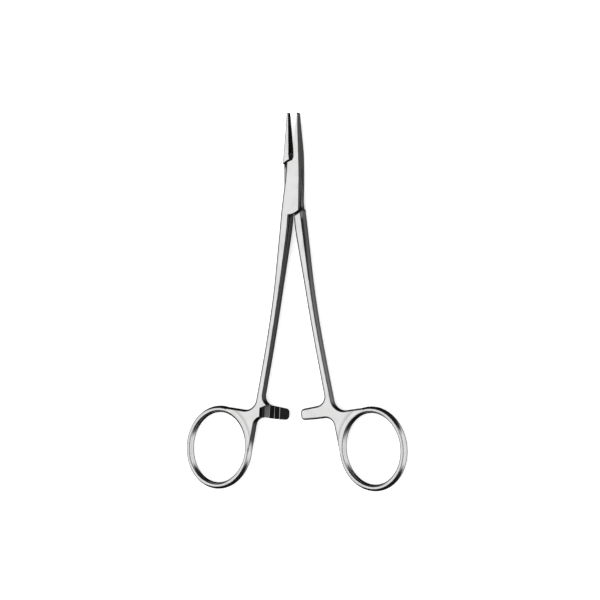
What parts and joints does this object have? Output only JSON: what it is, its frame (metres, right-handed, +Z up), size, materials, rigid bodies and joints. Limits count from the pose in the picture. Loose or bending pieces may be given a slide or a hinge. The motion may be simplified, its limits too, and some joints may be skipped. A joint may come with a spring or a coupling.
{
  "type": "surgical needle holder",
  "caption": "Ring-handled box-lock needle holder with cross-grooved jaws, slim shanks and a toothed ratchet between oval finger rings.",
  "frame": {"origin": "the pivot axis at the lower face of the box, on the surface the instrument lies on", "axes": "+Y towards the jaw tips along the line midway between the halves, +Z up along the pivot axis, +X towards the ring of the tongue half"},
  "size_m": [0.0812, 0.1294, 0.0049],
  "materials": {
    "forged_steel": "satin on the flat faces, polished on rings and side walls",
    "pin_steel": "ground flush and satin"
  },
  "bodies": {
    "box_side": {"box_half": "forged_steel", "pivot_pin": "pin_steel"},
    "tongue_side": {"tongue_half": "forged_steel"}
  },
  "joints": [
    {"name": "box_lock", "type": "hinge", "parent": "box_side", "child": "tongue_side", "pos_m": [0, 0, 0.00245], "axis": [0, 0, 1], "range_deg": [-7, 83]}
  ]
}
